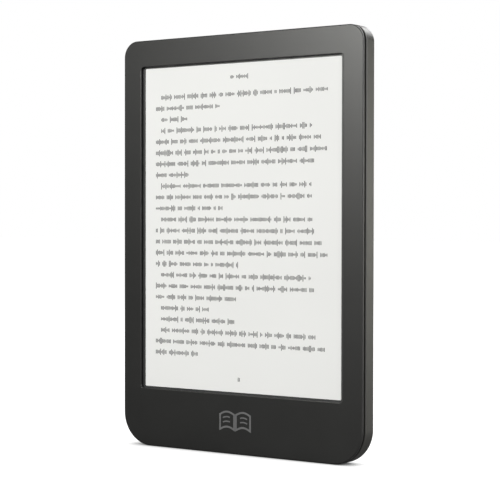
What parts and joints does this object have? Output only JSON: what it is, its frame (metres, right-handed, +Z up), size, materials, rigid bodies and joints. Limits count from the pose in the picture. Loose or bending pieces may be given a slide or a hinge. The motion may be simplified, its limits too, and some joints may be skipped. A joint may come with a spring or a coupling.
{
  "type": "e-reader",
  "caption": "Slim upright e-reader with a recessed electronic-paper touch screen in a charcoal two-part case, and a charging port and sprung power button in its bottom edge.",
  "frame": {"origin": "on the floor under the middle of the bottom edge, at the bottom centre of the bounding box", "axes": "+Z up the long side, the screen faces -Y, +X to the right seen from the front"},
  "size_m": [0.11, 0.0084, 0.1596],
  "materials": {
    "bezel": "charcoal, fine-grained, satin",
    "case": "charcoal, satin",
    "page_film": "anti-glare film over a pale page",
    "light_guide": "clear",
    "panel": "pale grey electronic paper",
    "alloy": "stamped, brushed",
    "circuit": "green solder mask over glass-epoxy",
    "chip": "moulded black",
    "steel": "plated",
    "ferrite": "sintered, dark grey",
    "ceramic": "fired, tan",
    "connector": "ivory",
    "lens": "clear",
    "led_body": "white",
    "flex": "amber polyimide",
    "battery": "laminated foil pouch",
    "red_lead": "satin insulation",
    "white_lead": "satin insulation",
    "black_lead": "satin insulation",
    "black_plastic": "moulded black"
  },
  "bodies": {
    "housing": {"antenna": "flex", "antenna_cable": "black_lead", "battery_board": "circuit", "battery_cell": "battery", "battery_lead_black": "black_lead", "battery_lead_red": "red_lead", "battery_lead_white": "white_lead", "battery_plug": "connector", "battery_socket": "connector", "board_screw_1": "steel", "board_screw_2": "steel", "board_screw_3": "steel", "board_screw_4": "steel", "capacitor_1": "ceramic", "capacitor_2": "ceramic", "card_socket": "steel", "chip_shield": "steel", "crystal": "steel", "display_cable": "flex", "display_panel": "panel", "display_power_chip": "chip", "display_socket": "connector", "frame_screw_1": "steel", "frame_screw_2": "steel", "frame_screw_3": "steel", "frame_screw_4": "steel", "front_bezel": "bezel", "hall_sensor": "chip", "inductor_1": "ferrite", "inductor_2": "ferrite", "light_cable": "flex", "light_guide": "light_guide", "light_led_1": "led_body", "light_led_2": "led_body", "light_led_3": "led_body", "light_led_4": "led_body", "light_led_5": "led_body", "light_led_6": "led_body", "light_pipe": "lens", "light_socket": "connector", "light_strip": "flex", "main_board": "circuit", "memory_card": "chip", "memory_chip": "chip", "mid_frame": "alloy", "port_shell": "steel", "port_tongue": "black_plastic", "power_chip": "chip", "processor": "chip", "rear_cover": "case", "status_led": "lens", "switch_body": "steel", "touch_cable": "flex", "touch_film": "page_film", "touch_socket": "connector", "wifi_module": "steel"},
    "button": {"power_button": "case"},
    "plunger": {"switch_plunger": "black_plastic"}
  },
  "joints": [
    {"name": "button_press", "type": "slide", "parent": "housing", "child": "button", "axis": [0, 0, 1], "range_m": [0, 0.0003], "stiffness_N_per_m": 400},
    {"name": "plunger_slide", "type": "slide", "parent": "housing", "child": "plunger", "axis": [0, 0, 1], "range_m": [0, 0.0003]}
  ],
  "couplings": [
    {"joint": "plunger_slide", "follows": "button_press", "ratio": 1}
  ]
}
